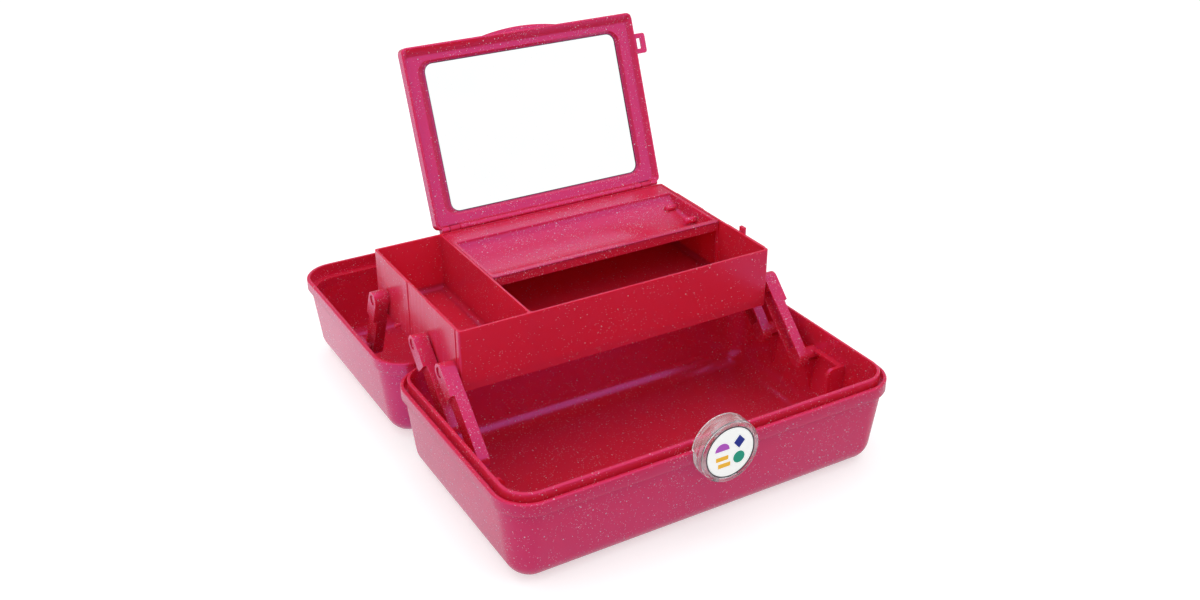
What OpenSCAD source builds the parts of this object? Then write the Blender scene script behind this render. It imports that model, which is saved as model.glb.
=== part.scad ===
// Makeup storage case, shown open: two equal tub-shaped halves joined by a hinge,
// and a tray with a flip-up mirror that six arms lift as the lid opens.
// The origin is on the floor under the middle of the base half. X runs along
// the case, +Y from the front to the lid and +Z is up.

/* [Case halves] */
// Length of each half over its rim
case_len = 340; // [320:1:380]
// Depth of each half over its rim
case_depth = 207.6; // [200:0.2:240]
// Height of each half up to its rim
half_h = 75; // [72:1:95]
// Corner radius of the rim
corner_r = 28; // [26:0.5:34]
// Wall and floor thickness
wall = 2.6; // [2:0.1:3.4]
// How much narrower each side is at the floor than at the rim
floor_inset = 10.5; // [9:0.1:11]
// Radius between the side walls and the floor
floor_edge_r = 18.5; // [12:0.5:18.5]
// Height of the band round the rim
band_h = 11; // [9:0.5:13]
// How far the band stands out of the wall
band_out = 3; // [2:0.1:3.5]
// Gap between the two halves when the case is open
halves_gap = 7.4; // [7:0.1:10]
// Height of the base's locating tongue above the rim
tongue_h = 5; // [3:0.5:6]
// Thickness of the locating tongue
tongue_t = 2.4; // [2:0.1:3]
// Gap between the rims when the case is shut
shut_gap = 0.4; // [0.2:0.1:0.6]

/* [Tray] */
// Room between the tray and the rim at each end, for the arms and their bearings
side_room = 30.1; // [30:0.1:34]
// Depth of the tray
tray_depth = 163.7; // [150:0.1:166]
// Height of the tray
tray_h = 51.2; // [45:0.2:54]
// Wall thickness of the tray
tray_t = 1.8; // [1.4:0.1:2.2]
// Distance from the case's centre to the open tray's front
tray_front_y = 33.2; // [30:0.2:36]
// Height of the open tray's underside
tray_bottom_z = 87.1; // [86:0.1:92]
// Width of the bay at the tray's left end, up to the partition's middle
bay_w = 59.4; // [40:0.2:80]

/* [Sub-tray] */
// Depth of the loose sub-tray, front to back
sub_depth = 93.6; // [80:0.2:94]
// Depth of its trough, front to back
trough_depth = 69; // [50:1:71]
// Height of the trough's upright walls
trough_wall_h = 5; // [4:0.5:8]
// How far the trough's round floor drops below its walls
trough_drop = 8.5; // [5:0.5:12]
// Thickness of the sub-tray
sub_t = 1.6; // [1.2:0.1:2]

/* [Lift arms] */
// Distance of the front arms' pivots from the tray's front
front_pivot_in = 9.1; // [9:0.1:12]
// Distance between the front and the middle arms' pivots
arm_pitch = 50; // [48:0.5:54]
// Distance of the rear arms' pivots from the tray's rear
rear_pivot_in = 22.5; // [20:0.1:23]
// Height of the front and middle arms' pivots above the tray's underside
pivot_up = 16.7; // [16:0.1:18]
// Height of the rear arms' pivots above the tray's underside
rear_pivot_up = 17.5; // [17:0.1:18]
// Pivot to pivot length of the front and middle arms
arm_len = 70; // [68:0.5:71]
// Pivot to pivot length of the rear arms
rear_arm_len = 60; // [58:0.5:62]
// Width of an arm
arm_w = 15; // [12:0.5:16]
// Width of an arm's head
arm_head_w = 14; // [11:0.5:14]
// Thickness of an arm below its head
arm_t = 9; // [7:0.5:9]
// Thickness of an arm's head
arm_head_t = 12; // [10:0.5:12]
// Slope of the front and middle arms when the case is open
arm_open_deg = 44.1; // [42:0.1:46]
// Slope of the rear arms when the case is open
rear_open_deg = 113.4; // [110:0.1:116]
// Radius of the tray's bosses, which the arms turn on
boss_r = 4.2; // [3.5:0.1:4.6]
// Radius of the pegs at the arms' other ends
peg_r = 3.2; // [2.5:0.1:3.4]

/* [Mirror] */
// Width of the mirror's frame
frame_w = 222.3; // [210:0.1:223]
// Length of the mirror's frame
frame_l = 154; // [140:1:158]
// Thickness of the mirror's frame
frame_t = 10; // [8:0.5:12]
// How far the open mirror leans back
lean_deg = 20.8; // [15:0.1:25]
// Width of the window
window_w = 185; // [160:1:188]
// Length of the window
window_l = 126.5; // [110:0.5:130]
// Corner radius of the window
window_r = 8; // [5:0.5:12]
// Thickness of the mirror glass
glass_t = 2; // [1.6:0.1:2.2]

/* [Latch] */
// Radius of the round latch
latch_r = 25.5; // [23:0.5:26]
// Thickness of the latch, front to back
latch_t = 13.6; // [12.6:0.1:16]
// Height of the latch's centre
latch_z = 73; // [72:0.5:75]
// Radius of the white disc in the latch
disc_r = 20.3; // [16:0.1:20.8]

/* [Handle] */
// Width of the handle over its legs
handle_w = 124; // [110:1:130]
// Distance from the handle's pivots to the middle of its grip
handle_reach = 34; // [30:1:40]
// Thickness of the handle
handle_t = 8; // [7:0.5:9]
// Depth of the grip, front to back
grip_w = 15; // [12:0.5:18]

/* [Pins and fits] */
// Radius of the steel pins in the case's hinge
case_pin_r = 1.4; // [1.2:0.1:1.6]
// Radius of the steel pins in the mirror's hinge
mirror_pin_r = 1.1; // [0.9:0.1:1.2]
// Radius of the latch's steel pin
latch_pin_r = 1.2; // [1:0.1:1.4]
// Radius of the handle's steel pins
handle_pin_r = 2; // [1.5:0.1:2.2]
// Radial clearance of every pin, peg and boss in its hole
run_gap = 0.06; // [0.03:0.01:0.1]
// Least gap between faces that move past each other
side_gap = 0.4; // [0.3:0.05:0.5]

/* [Hidden] */
$fn = 64;

// colours of the moulded plastic, seen in the photograph
pink = "#c42757";
pink_deep = "#a81f49";

// case halves: half sizes, section of wall and rim, and where the open lid lies
half_l = case_len / 2;
half_d = case_depth / 2;
core_x = half_l - corner_r;
core_y = half_d - corner_r;
band_bottom = half_h - band_h;
wall_top_x = corner_r - band_out;
wall_low_x = corner_r - floor_inset;
draft = atan((wall_top_x - wall_low_x) / band_bottom);
edge_x = wall_low_x - floor_edge_r * tan((90 - draft) / 2);
rim_edge = 0.8;
tongue_edge = 0.6;
tongue_out = 5.6;
tongue_in = tongue_out + tongue_t;
groove_in = 2.6;
groove_drop = 5;
lip_ramp = [half_h - 21, half_h - 13];
rabbet_in = 3;
hinge_y = half_d + halves_gap / 2;
hinge_z = half_h + shut_gap / 2;
lid_y = 2 * hinge_y;

// case hinge
knuckle_r = halves_gap / 2 - 0.3;
knuckle_l = 10;
hinge_x = 92;

// tray: where its walls and its pivots are, pivots given as [y, z]
tray_x = half_l - side_room;
tray_len = 2 * tray_x;
partition_x = bay_w - tray_x;
tray_rear_y = tray_front_y + tray_depth;
tray_top = tray_bottom_z + tray_h;
front_pivot = [tray_front_y + front_pivot_in, tray_bottom_z + pivot_up];
mid_pivot = front_pivot + [arm_pitch, 0];
rear_pivot = [tray_rear_y - rear_pivot_in, tray_bottom_z + rear_pivot_up];
pads = [[front_pivot[0] - 3.1, 52], [rear_pivot[0] - 46.2, 43]];
pad_t = 0.6;
tray_corner_r = 2;
bay_corner_r = 3;

// lift arms: their lower pivots, and where the arms and bearings are along X
arm_shut_deg = 157.5;
arm_open = arm_len * [cos(arm_open_deg), sin(arm_open_deg)];
rear_open = rear_arm_len * [cos(rear_open_deg), sin(rear_open_deg)];
front_foot = front_pivot - arm_open;
mid_foot = mid_pivot - arm_open;
rear_foot = rear_pivot - rear_open;
arm_x = tray_x + 1.7;
head_x = arm_x + arm_head_t;
clip_x = arm_x + arm_t + side_gap;
peg_end = clip_x + 7;
head_l = 21;
clip_wall = 3.2;
clip_mouth_deg = 200;
travel_centre = rear_foot + [3.5, -10];
travel_r = 10.7;

// sub-tray
sub_x0 = partition_x + tray_t / 2 + 0.4;
sub_x1 = tray_x - tray_t - 0.4;
sub_y1 = tray_rear_y - tray_t - 0.4;
sub_y0 = sub_y1 - sub_depth;
sub_top = tray_top - 0.2;
rim_t = 2;
skirt_h = 9;
rest_r = 3;
trough_y0 = sub_y0 + 5;
trough_bend_r = bow_radius(trough_depth, trough_drop);

// mirror: hinge line, and the frame in a plane of its own (X across, Y up it)
mirror_axis_y = tray_rear_y + 2.7;
mirror_axis_z = tray_top + 1.3;
frame_x0 = tray_x + 0.2 - frame_w;
frame_mid = frame_x0 + frame_w / 2;
lip_t = 2;
lip_h = 4;
frame_corner_r = 5;
dish_corner_r = 3.5;
window_y = 12.5;
glass_z = -lip_h - 2.15;
mirror_knuckle_r = 2.5;
mirror_knuckle_l = 9;
mirror_hinge_in = 16;
rail_drop = 4.5;
rail_t = frame_t - mirror_knuckle_r - 2;
mirror_hinges = [frame_x0 + mirror_hinge_in, frame_x0 + frame_w - mirror_hinge_in];
tab_y = frame_l - 28.5;

// latch: front and back, and its hinge line under the centre
latch_front = -half_d - 11.7;
latch_back = latch_front + latch_t;
latch_wall = 2.2;
latch_axis_y = -half_d - 3.2;
latch_axis_z = latch_z - 19.5;
latch_block_w = 13;
latch_ear_r = 2.6;
seat_drop = 1.2;
ring_r = disc_r + 0.9;
notch_w = 2 * latch_r + 3;

// handle in its recess under the lid
handle_axis_y = lid_y - 18;
handle_z = 1;
handle_axis = [handle_axis_y, handle_z + handle_t / 2];
handle_leg_w = 12;
recess_d = handle_t + 2.4;
recess_gap = 2.5;
recess_x = handle_w / 2 + recess_gap;

// Radius of an arc that is w wide and rises by h.
function bow_radius(w, h) = (pow(w / 2, 2) + pow(h, 2)) / (2 * h);

// Extrudes a flat shape, drawn with Y and Z as its two axes, from x0 to x1.
module along_x(x0, x1) {
    translate([x0, 0, 0])
        rotate([90, 0, 90])
            linear_extrude(x1 - x0)
                children();
}

// A straight cylinder along X, centred on the point p of the YZ plane.
module rod(p, r, x0, x1) {
    along_x(x0, x1)
        translate(p)
            circle(r);
}

// A copy of the children on each side of the case.
module both_sides() {
    children();
    mirror([1, 0, 0])
        children();
}

// Sweeps a wall section round the case's rounded rectangle and fills the middle.
// The section starts at the corner's own axis and spans z0 to z1 there.
module round_tub(z0, z1) {
    translate([-core_x, -core_y, z0])
        cube([2 * core_x, 2 * core_y, z1 - z0]);
    for (turn = [0:3]) {
        a = turn % 2 == 0 ? core_x : core_y;
        b = turn % 2 == 0 ? core_y : core_x;
        rotate([0, 0, 90 * turn])
            translate([a, b, 0]) {
                rotate_extrude(angle = 90)
                    children();
                rotate([90, 0, 0])
                    linear_extrude(2 * b)
                        children();
            }
    }
}

// The part of a circle of radius r that rounds the section's lower corner.
module lower_round(r) {
    intersection() {
        translate([edge_x, floor_edge_r])
            circle(r);
        square([corner_r, floor_edge_r]);
    }
}

// Where the lower corner's round, of radius r, meets the drafted wall.
function round_end(r) = [
    edge_x + r * cos(draft),
    floor_edge_r - r * sin(draft)
];

// Distance of the wall's outer face from the corner's axis at height z.
function wall_x(z) = wall_low_x + z * tan(draft);

// Section of a half from the corner's axis to its outer face, up to the rim.
module outer_section() {
    lower_round(floor_edge_r);
    polygon([
        [0, 0], [edge_x, 0], round_end(floor_edge_r),
        [wall_x(band_bottom - 1), band_bottom - 1], [corner_r - 0.5, band_bottom + 0.5],
        [corner_r, band_bottom + 1.5], [corner_r, half_h - rim_edge],
        [corner_r - rim_edge, half_h], [0, half_h]
    ]);
}

// Section of the hollow up to the inner lip and on to the height top.
module inner_section(top) {
    lower_round(floor_edge_r - wall);
    polygon([
        [0, wall], [edge_x, wall], round_end(floor_edge_r - wall),
        [wall_x(lip_ramp[0]) - wall / cos(draft), lip_ramp[0]],
        [corner_r - tongue_in, lip_ramp[1]], [corner_r - tongue_in, top], [0, top]
    ]);
}

// A ring round the rim, between the insets a and b.
module rim_ring(a, b, z0, z1) {
    difference() {
        round_tub(z0, z1)
            ring_core(b, z0, z1, tongue_edge);
        round_tub(z0 - 1, z1 + 1)
            ring_core(a, z0 - 1, z1 + 1, 0);
    }
}

// Section of a ring's filled blank, from the corner's axis out to the inset,
// with its upper edge chamfered.
module ring_core(inset, z0, z1, edge) {
    r = corner_r - inset;
    polygon([[0, z0], [r, z0], [r, z1 - edge], [r - edge, z1], [0, z1]]);
}

// A knuckle of the case hinge: a barrel round the pin and its web to one half.
module case_knuckle(x0, x1, side) {
    rod([hinge_y, hinge_z], knuckle_r, x0, x1);
    along_x(x0, x1)
        translate([hinge_y + (side > 0 ? 0 : -halves_gap / 2 - 0.6), hinge_z - knuckle_r])
            square([halves_gap / 2 + 0.6, knuckle_r - shut_gap / 2]);
}

module case_pin_bores() {
    for (x = [-hinge_x, hinge_x])
        rod([hinge_y, hinge_z], case_pin_r + run_gap, x - 2 * knuckle_l - 1, x + 2 * knuckle_l + 1);
}

// Snap-in bearing for an arm's peg, with a tapered rib under it.
module arm_clip(p) {
    reach = half_l - 5.5;
    mouth = 1.4 * peg_r;
    difference() {
        rod(p, peg_r + clip_wall, clip_x, reach);
        rod(p, peg_r + run_gap, clip_x - 1, reach - 2);
        along_x(clip_x - 1, reach - 2)
            translate(p)
                rotate(clip_mouth_deg)
                    translate([0, -mouth / 2])
                        square([peg_r + clip_wall + 1, mouth]);
    }
    translate([0, p[0] + 1.5, 0])
        rotate([90, 0, 0])
            linear_extrude(3)
                polygon([
                    [clip_x + 2, p[1] - peg_r - 2], [reach, p[1] - peg_r - 2],
                    [half_l - 10, 20], [half_l - 11, 20]
                ]);
}

// Upright plate that the folded front arm comes to rest on, and the rib behind it.
module arm_rest() {
    reach = 37;
    thick = 3;
    rest_y = front_foot[0] - reach;
    rest_top = front_foot[1] + (reach - thick / 2) * tan(180 - arm_shut_deg)
        + arm_w / 2 / cos(arm_shut_deg) - side_gap;
    inner = clip_x - 6;
    round_r = 6;
    translate([0, rest_y + thick / 2, 0])
        rotate([90, 0, 0])
            linear_extrude(thick) {
                translate([inner + round_r, rest_top - round_r])
                    circle(round_r);
                polygon([
                    [inner, rest_top - round_r], [inner, rest_top - 20], [half_l - 9, rest_top - 32],
                    [half_l - 6, rest_top], [inner + round_r, rest_top]
                ]);
            }
    translate([half_l - 13, rest_y, rest_top - 2])
        cube([8, front_foot[0] - rest_y - 6, 2]);
}

module base_shell() {
    color(pink) {
        difference() {
            union() {
                round_tub(0, half_h)
                    outer_section();
                rim_ring(tongue_in + 1, tongue_out, half_h - groove_drop, half_h + tongue_h);
                for (x = [-hinge_x, hinge_x]) {
                    case_knuckle(x - 2 * knuckle_l, x - knuckle_l, -1);
                    case_knuckle(x + knuckle_l, x + 2 * knuckle_l, -1);
                }
            }
            round_tub(wall, half_h + tongue_h + 1)
                inner_section(half_h + tongue_h + 1);
            rim_ring(tongue_out, groove_in, half_h - groove_drop, half_h + 1);
            case_pin_bores();
        }
        both_sides() {
            arm_clip(front_foot);
            arm_clip(mid_foot);
            arm_rest();
        }
        latch_block();
    }
}

// Block on the base's front that the latch turns on.
module latch_block() {
    pin = [latch_axis_y, latch_axis_z];
    difference() {
        along_x(-latch_block_w / 2, latch_block_w / 2) {
            translate(pin)
                circle(latch_ear_r);
            translate(pin - [0, latch_ear_r])
                square([9, 2 * latch_ear_r]);
        }
        rod(pin, latch_pin_r + run_gap, -latch_block_w, latch_block_w);
    }
}

// The lid half, drawn upright like the base and set behind it.
module lid_shell() {
    color(pink)
        difference() {
            union() {
                translate([0, lid_y, 0])
                    lid_tub();
                for (x = [-hinge_x, hinge_x])
                    case_knuckle(x - knuckle_l + side_gap, x + knuckle_l - side_gap, 1);
                both_sides()
                    arm_window();
            }
            case_pin_bores();
            translate([0, lid_y, 0])
                latch_notch();
            handle_recess(0);
            handle_pin_bores(recess_x - 1, recess_x + 5);
        }
}

module lid_tub() {
    difference() {
        round_tub(0, half_h)
            outer_section();
        difference() {
            union() {
                round_tub(wall, half_h + 1)
                    inner_section(half_h + 1);
                round_tub(band_bottom, half_h + 1)
                    ring_core(rabbet_in, band_bottom, half_h + 1, 0);
            }
            translate([-notch_w / 2, half_d - tongue_out + side_gap, band_bottom - 1])
                cube([notch_w, tongue_out, band_h + 1]);
            translate([0, -lid_y, 0]) {
                handle_recess(wall);
                handle_bosses();
            }
        }
    }
}

// The band is cut away where the latch sits, all but the nub that it hooks over.
module latch_notch() {
    nub_z = half_h - 7.6;
    difference() {
        translate([-notch_w / 2, half_d - band_out + 0.6, band_bottom - 3])
            cube([notch_w, band_out, band_h + 4]);
        translate([-6, half_d - band_out, nub_z])
            cube([12, 1.8, 2]);
    }
}

// Ring on the lid's side wall that the rear arm's peg travels in.
module arm_window() {
    difference() {
        intersection() {
            rod(travel_centre, travel_r + peg_r + 3.4, head_x + side_gap, half_l);
            translate([0, lid_y, 0])
                round_tub(0, half_h)
                    outer_section();
        }
        rod(travel_centre, travel_r + peg_r + side_gap, head_x, peg_end + side_gap);
    }
}

// Recess for the handle; grown by skin it gives the recess's wall inside the lid.
module handle_recess(skin) {
    y0 = handle_axis_y - handle_leg_w / 2 - recess_gap;
    y1 = handle_axis_y + handle_reach + grip_w / 2 + recess_gap;
    translate([-recess_x - skin, y0 - skin, skin > 0 ? 0 : -1])
        cube([2 * (recess_x + skin), y1 - y0 + 2 * skin, recess_d + skin + (skin > 0 ? 0 : 1)]);
}

module handle_bosses() {
    both_sides()
        rod(handle_axis, handle_pin_r + 3, recess_x - 1, recess_x + 6);
}

// Bores for the handle's pins, on both sides from x0 to x1.
module handle_pin_bores(x0, x1) {
    both_sides()
        rod(handle_axis, handle_pin_r + run_gap, x0, x1);
}

module case_pin(x) {
    color("silver")
        rod([hinge_y, hinge_z], case_pin_r, x - 2 * knuckle_l, x + 2 * knuckle_l);
}

// Tray: open box, partition, bosses for the arms and the mirror's hinge lugs.
module tray() {
    color(pink) {
        difference() {
            union() {
                translate([-tray_x, tray_front_y, tray_bottom_z])
                    linear_extrude(tray_h)
                        round_rect(tray_len, tray_depth, tray_corner_r);
                both_sides()
                    tray_pads();
            }
            tray_bay(-tray_x + tray_t, partition_x - tray_t / 2);
            tray_bay(partition_x + tray_t / 2, tray_x - tray_t);
        }
        sub_tray_rails();
        both_sides() {
            for (p = [front_pivot, mid_pivot, rear_pivot])
                tray_boss(p);
            arm_stop();
        }
        mirror_peg();
        for (x = mirror_hinges)
            mirror_lug(x);
    }
}

module tray_bay(x0, x1) {
    translate([x0, tray_front_y + tray_t, tray_bottom_z + tray_t])
        linear_extrude(tray_h)
            round_rect(x1 - x0, tray_depth - 2 * tray_t, bay_corner_r);
}

// Raised panels on the end walls, round the pivots.
module tray_pads() {
    for (pad = pads)
        translate([tray_x - 0.1, pad[0], tray_bottom_z])
            cube([pad_t + 0.1, pad[1], tray_h]);
}

module tray_boss(p) {
    rod(p, boss_r + 2, tray_x - 0.5, arm_x - 0.3);
    rod(p, boss_r, tray_x, head_x - 1);
}

// Nub under which the folded middle arm comes to lie.
module arm_stop() {
    along = [-cos(arm_shut_deg), -sin(arm_shut_deg)];
    across = [-along[1], along[0]];
    nub_r = 1.6;
    rod(mid_pivot + (arm_len - 13) * along + (arm_w / 2 + nub_r + side_gap) * across,
        nub_r, tray_x - 0.5, arm_x + 4);
}

// Rails that the sub-tray rests on, each with a post under its front end.
module sub_tray_rails() {
    rail = 2;
    z = sub_top - rim_t - rail - 0.1;
    post_z = tray_bottom_z + tray_t - 0.5;
    for (x = [sub_x0 - 0.5, sub_x1 + 0.5 - rail]) {
        translate([x, sub_y0 + sub_t + side_gap, z])
            cube([rail, sub_depth - sub_t - side_gap, rail]);
        translate([x, sub_y0 + sub_t + side_gap, post_z])
            cube([rail, rail, z - post_z + 0.5]);
    }
}

// A lug on the tray's rear edge that carries one of the mirror's pins.
module mirror_lug(x) {
    p = [mirror_axis_y, mirror_axis_z];
    difference() {
        along_x(x - mirror_knuckle_l / 2, x + mirror_knuckle_l / 2) {
            translate(p)
                circle(mirror_knuckle_r);
            polygon([
                [tray_rear_y - 0.5, tray_top - 9], p + [mirror_knuckle_r * 0.8, -1.5],
                p + [0, 0], [tray_rear_y, tray_top - 0.5], [tray_rear_y - 0.5, tray_top - 0.5]
            ]);
        }
        rod(p, mirror_pin_r + run_gap, x - mirror_knuckle_l, x + mirror_knuckle_l);
    }
}

// Upright peg outside the tray's end wall, which the mirror's tab snaps over.
module mirror_peg() {
    y = mirror_axis_y - tab_y;
    translate([tray_x - 0.2, y - 3, tray_top - 7])
        cube([4.6, 6, 3]);
    translate([tray_x + 1.6, y - 3, tray_top - 7])
        cube([2.8, 6, 10.6]);
}

// Sub-tray: flat rim with a turned-down front edge and a round-bottomed trough,
// loose on the tray's rails.
module sub_tray() {
    rim_r = bay_corner_r - 0.4;
    color(pink) {
        difference() {
            union() {
                translate([sub_x0, sub_y0, sub_top - rim_t])
                    linear_extrude(rim_t)
                        round_rect(sub_x1 - sub_x0, sub_depth, rim_r);
                translate([sub_x0 + rim_r, sub_y0, sub_top - skirt_h])
                    cube([sub_x1 - sub_x0 - 2 * rim_r, sub_t, skirt_h - 0.5]);
                trough(sub_t);
            }
            trough(0);
        }
        for (y = [trough_y0 + 26, trough_y0 + trough_depth - 12])
            brush_rest(y);
    }
}

// The trough's hollow, or with a skin its outside.
module trough(skin) {
    z1 = skin > 0 ? sub_top - 0.5 : sub_top + 1;
    mid = trough_y0 + trough_depth / 2;
    deep = trough_wall_h + trough_drop + 5;
    bend_z = sub_top - trough_wall_h - trough_drop + trough_bend_r;
    x0 = sub_x0 + 3.2 - skin;
    x1 = sub_x1 - 3.2 + skin;
    along_x(x0, x1)
        intersection() {
            translate([trough_y0 - skin, sub_top - deep])
                square([trough_depth + 2 * skin, deep - sub_top + z1]);
            union() {
                translate([mid, bend_z])
                    circle(trough_bend_r + skin, $fn = 180);
                translate([trough_y0 - skin, sub_top - trough_wall_h])
                    square([trough_depth + 2 * skin, z1 - sub_top + trough_wall_h]);
            }
        }
}

// Small round nub on the trough's right-hand end wall, which keeps brushes apart.
module brush_rest(y) {
    x1 = sub_x1 - 3;
    rod([y, sub_top - 9], rest_r, x1 - 12, x1);
}

// An arm on the right-hand side, from its peg at p up the slope deg to its head.
module arm(p, deg, len) {
    color(pink_deep) {
        difference() {
            union() {
                along_x(arm_x, arm_x + arm_t)
                    translate(p)
                        rotate(deg)
                            arm_outline(0, len - head_l, arm_w);
                along_x(arm_x, head_x)
                    translate(p)
                        rotate(deg)
                            arm_outline(len, len - head_l - 0.5, arm_head_w);
            }
            rod(p + len * [cos(deg), sin(deg)], boss_r + run_gap, arm_x - 1, head_x + 1);
            along_x(arm_x - 1, arm_x + arm_t - 2.5)
                translate(p)
                    rotate(deg)
                        translate([9, -arm_w / 2 + 2])
                            square([len - 19, arm_w - 4]);
        }
        rod(p, peg_r, arm_x + 2, peg_end);
    }
}

// Outline of a length of arm, w wide, round about the pivot at a and square at b.
module arm_outline(a, b, w) {
    translate([a, 0])
        circle(w / 2);
    translate([min(a, b), -w / 2])
        square([abs(b - a), w]);
}

// Sets the children, drawn flat with Y along the frame and Z out of its front,
// on the mirror's hinge line and leans them back.
module on_mirror() {
    translate([0, mirror_axis_y, mirror_axis_z])
        rotate([90 - lean_deg, 0, 0])
            translate([0, 0, 1])
                children();
}

// Rectangle with round corners, its lower left corner at the origin.
module round_rect(w, l, r) {
    translate([r, 0])
        square([w - 2 * r, l]);
    translate([0, r])
        square([w, l - 2 * r]);
    for (x = [r, w - r], y = [r, l - r])
        translate([x, y])
            circle(r);
}

// Mirror frame: raised lip, border round the window, finger lip and snap tab.
module mirror_frame() {
    knuckle_gap = mirror_knuckle_l / 2 + 0.5;
    color(pink)
        on_mirror()
            difference() {
                union() {
                    translate([frame_x0, 0, -frame_t])
                        linear_extrude(frame_t)
                            round_rect(frame_w, frame_l, frame_corner_r);
                    finger_lip();
                    snap_tab();
                    hinge_rail();
                    for (x = mirror_hinges)
                        for (s = [-1, 1])
                            rod([0, -1], mirror_knuckle_r,
                                x + (s > 0 ? knuckle_gap : -knuckle_gap - 7),
                                x + (s > 0 ? knuckle_gap + 7 : -knuckle_gap));
                }
                translate([frame_x0 + lip_t, lip_t, -lip_h])
                    linear_extrude(lip_h + 1)
                        round_rect(frame_w - 2 * lip_t, frame_l - 2 * lip_t, dish_corner_r);
                translate([frame_x0 + lip_t, lip_t + 3, -frame_t - 1])
                    linear_extrude(frame_t - lip_h - 1)
                        round_rect(frame_w - 2 * lip_t, frame_l - 2 * lip_t - 3, 2.5);
                translate([frame_mid - window_w / 2, window_y, -frame_t])
                    linear_extrude(frame_t)
                        round_rect(window_w, window_l, window_r);
                for (x = mirror_hinges)
                    translate([x - knuckle_gap, -5, rail_t - frame_t])
                        cube([2 * knuckle_gap, 8, frame_t + 3]);
                for (x = mirror_hinges)
                    rod([0, -1], mirror_pin_r + run_gap, x - knuckle_gap - 6, x + knuckle_gap + 6);
            }
}

// Rail along the frame's lower edge, behind the hinge, which hides the gap there.
module hinge_rail() {
    translate([frame_x0 + frame_corner_r, -rail_drop, -frame_t])
        cube([frame_w - 2 * frame_corner_r, rail_drop + 2, rail_t]);
}

// Curved lip on the frame's free edge to lift it by.
module finger_lip() {
    lip_len = 72;
    rise = 3.6;
    bow_r = bow_radius(lip_len, rise);
    translate([frame_mid, frame_l + rise - bow_r, -frame_t + 3])
        linear_extrude(frame_t - 4.5)
            intersection() {
                circle(bow_r, $fn = 180);
                translate([-lip_len / 2, bow_r - rise - 0.5])
                    square([lip_len, rise + 1]);
            }
}

// Slotted tab beside the frame that snaps over the tray's peg.
module snap_tab() {
    x0 = frame_x0 + frame_w;
    translate([x0 - 1, tab_y - 9, -4])
        linear_extrude(3)
            difference() {
                round_rect(11.6, 18, 2.5);
                translate([2.4, 4.4])
                    round_rect(4.4, 9.2, 1.5);
            }
}

module mirror_glass() {
    margin = 4;
    color("white")
        on_mirror()
            translate([frame_mid - window_w / 2 - margin, window_y - margin, glass_z - glass_t])
                cube([window_w + 2 * margin, window_l + 2 * margin, glass_t]);
}

module mirror_back() {
    gap = 0.3;
    thick = frame_t + glass_z - glass_t - 0.05;
    color(pink_deep)
        on_mirror()
            translate([frame_x0 + lip_t + gap, lip_t + 3 + gap, -frame_t])
                linear_extrude(thick)
                    round_rect(frame_w - 2 * (lip_t + gap), frame_l - 2 * (lip_t + gap) - 3, 2.5);
}

module mirror_pin(x) {
    pin_l = mirror_knuckle_l / 2 + 6;
    color("silver")
        rod([mirror_axis_y, mirror_axis_z], mirror_pin_r, x - pin_l, x + pin_l);
}

// Latch: clear cup with a seat for the disc, two ears on the pin and a hook.
module latch_body() {
    pin = [latch_axis_y, latch_axis_z];
    ear = [latch_block_w / 2 + side_gap, latch_block_w / 2 + side_gap + 3];
    color([0.9, 0.9, 0.92, 0.6])
        difference() {
            union() {
                difference() {
                    latch_round(latch_r, latch_front, latch_back);
                    latch_round(latch_r - latch_wall, latch_front + 3, latch_back + 1);
                    translate([-ear[0], latch_front + 3, latch_z - latch_r - 1])
                        cube([2 * ear[0], latch_t, 6]);
                }
                both_sides()
                    along_x(ear[0], ear[1]) {
                        translate(pin)
                            circle(latch_ear_r);
                        translate([latch_front + 2, pin[1] - latch_ear_r])
                            square([pin[0] - latch_front - 2, 2 * latch_ear_r]);
                    }
                translate([-8, latch_front + 2, latch_z + 10.7])
                    cube([16, latch_t - 2.2, 1.6]);
            }
            latch_round(ring_r, latch_front - 1, latch_front + seat_drop);
            translate([-latch_r - 1, -half_d - side_gap, latch_z - latch_r - 1])
                cube([2 * latch_r + 2, 5, latch_r + 1 + half_h - latch_z + side_gap]);
            rod(pin, latch_pin_r + run_gap, -ear[1] - 1, ear[1] + 1);
        }
}

module latch_round(r, y0, y1) {
    translate([0, y1, latch_z])
        rotate([90, 0, 0])
            cylinder(y1 - y0, r, r);
}

module latch_disc() {
    color("white")
        latch_round(disc_r, latch_front + 0.3, latch_front + seat_drop);
}

module latch_ring() {
    color("dimgray")
        difference() {
            latch_round(ring_r, latch_front + 0.1, latch_front + seat_drop);
            latch_round(disc_r, latch_front - 1, latch_front + seat_drop + 1);
        }
}

module latch_pin() {
    reach = latch_block_w / 2 + side_gap + 2.8;
    color("silver")
        rod([latch_axis_y, latch_axis_z], latch_pin_r, -reach, reach);
}

// Folding handle: two legs and a round-ended grip, stowed in the lid's recess.
module handle() {
    grip_y = handle_axis_y + handle_reach;
    leg_x = handle_w / 2 - handle_leg_w;
    color(pink_deep)
        difference() {
            union() {
                translate([-handle_w / 2, grip_y - grip_w / 2, handle_z])
                    linear_extrude(handle_t)
                        round_rect(handle_w, grip_w, 6);
                both_sides()
                    along_x(leg_x, handle_w / 2) {
                        translate(handle_axis)
                            circle(handle_t / 2);
                        translate([handle_axis_y, handle_z])
                            square([handle_reach, handle_t]);
                    }
            }
            handle_pin_bores(leg_x + 3, handle_w / 2 + 1);
        }
}

// One of the handle's pins, from its leg into the boss beside the recess.
module handle_pin() {
    color("silver")
        rod(handle_axis, handle_pin_r,
            handle_w / 2 - handle_leg_w + 3.5, recess_x + 4.5);
}

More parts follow.
